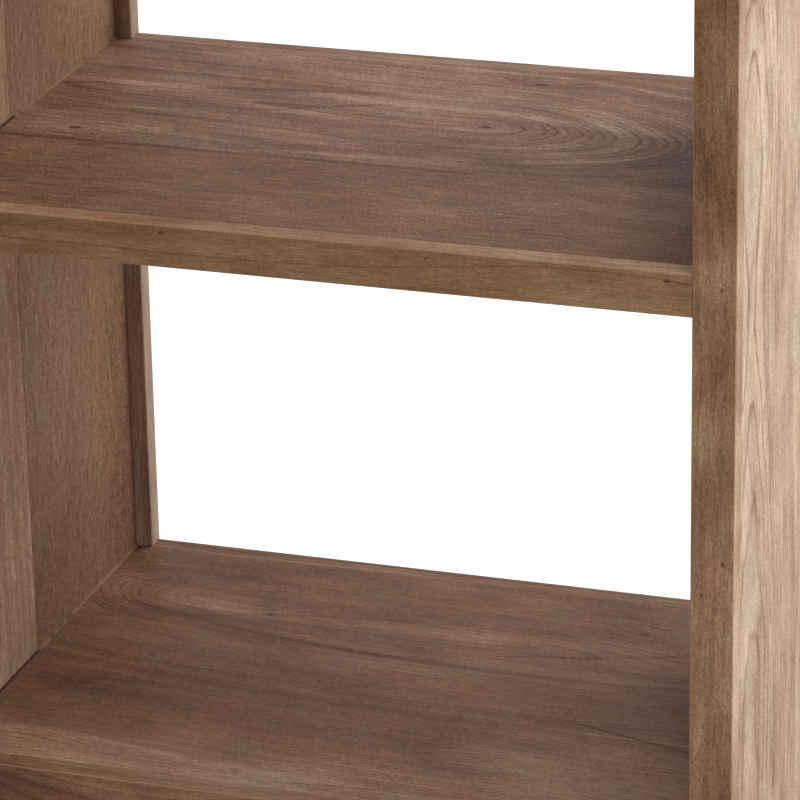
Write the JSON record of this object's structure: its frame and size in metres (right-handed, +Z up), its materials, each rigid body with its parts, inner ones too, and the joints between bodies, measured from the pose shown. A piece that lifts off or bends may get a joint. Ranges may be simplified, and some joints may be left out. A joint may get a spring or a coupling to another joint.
{
  "type": "shelving unit",
  "caption": "Tall free-standing shelving unit in brown stained solid wood, open at front and back, with framed board sides and fixed framed shelves.",
  "frame": {"origin": "on the floor, under the middle of the unit's width and depth", "axes": "+Z up, +X to the right seen from the front, +Y to the back"},
  "size_m": [0.6, 0.41, 1.8],
  "materials": {
    "frame_wood": "brown stain, matt lacquer",
    "side_wood": "brown stain, matt lacquer",
    "shelf_wood": "brown stain, matt lacquer",
    "glide_plastic": "moulded, dark brown"
  },
  "bodies": {
    "root": {"stile_front_left": "frame_wood", "side_board_front_left": "side_wood", "glide_front_left": "glide_plastic", "stile_front_right": "frame_wood", "side_board_front_right": "side_wood", "glide_front_right": "glide_plastic", "shelf_1_front_rail": "frame_wood", "shelf_1_front_board": "shelf_wood", "shelf_2_front_rail": "frame_wood", "shelf_2_front_board": "shelf_wood", "shelf_3_front_rail": "frame_wood", "shelf_3_front_board": "shelf_wood", "shelf_4_front_rail": "frame_wood", "shelf_4_front_board": "shelf_wood", "shelf_5_front_rail": "frame_wood", "shelf_5_front_board": "shelf_wood", "stile_rear_left": "frame_wood", "side_board_rear_left": "side_wood", "glide_rear_left": "glide_plastic", "stile_rear_right": "frame_wood", "side_board_rear_right": "side_wood", "glide_rear_right": "glide_plastic", "shelf_1_rear_rail": "frame_wood", "shelf_1_rear_board": "shelf_wood", "shelf_2_rear_rail": "frame_wood", "shelf_2_rear_board": "shelf_wood", "shelf_3_rear_rail": "frame_wood", "shelf_3_rear_board": "shelf_wood", "shelf_4_rear_rail": "frame_wood", "shelf_4_rear_board": "shelf_wood", "shelf_5_rear_rail": "frame_wood", "shelf_5_rear_board": "shelf_wood"}
  },
  "joints": []
}
